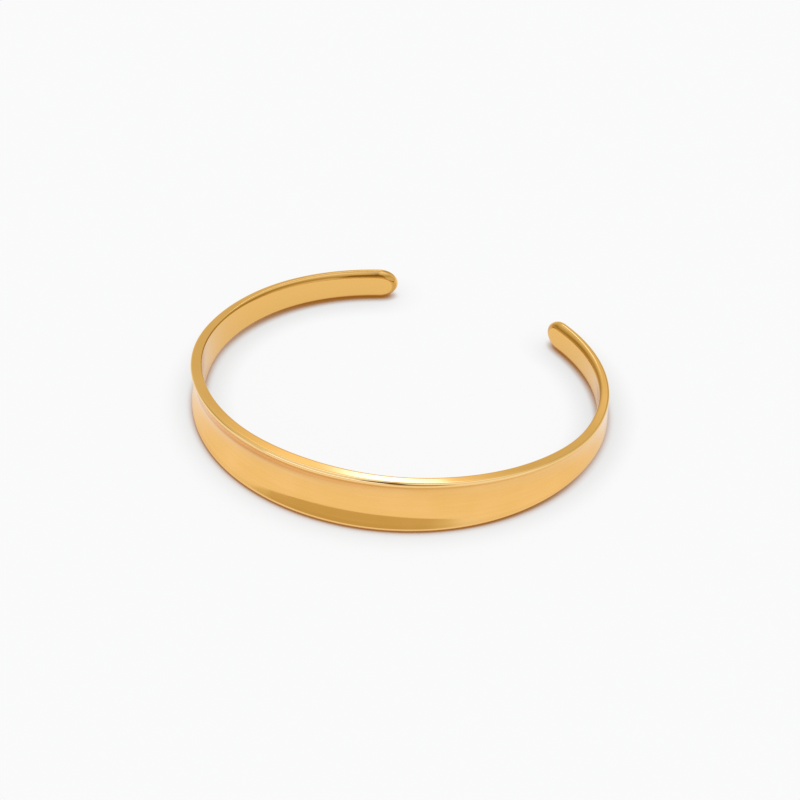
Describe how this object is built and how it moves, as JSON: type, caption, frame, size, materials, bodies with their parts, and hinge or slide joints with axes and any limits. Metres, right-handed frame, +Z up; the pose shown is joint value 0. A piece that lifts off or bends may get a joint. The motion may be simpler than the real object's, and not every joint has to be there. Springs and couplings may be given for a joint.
{
  "type": "cuff bangle",
  "caption": "Open oval cuff bangle in polished yellow metal: broad, hollowed front, narrowing arms and rounded ends either side of the wrist gap.",
  "frame": {"origin": "on the surface the bangle lies on, under the middle of its bounding box", "axes": "+Z up from that surface, +X along the bangle's long width, +Y towards the gap between its ends"},
  "size_m": [0.062, 0.0538, 0.0086],
  "materials": {
    "polished_gold": "polished yellow gold plate over brass, mirror bright with faint buffing lines"
  },
  "bodies": {
    "root": {"cuff": "polished_gold"}
  },
  "joints": []
}
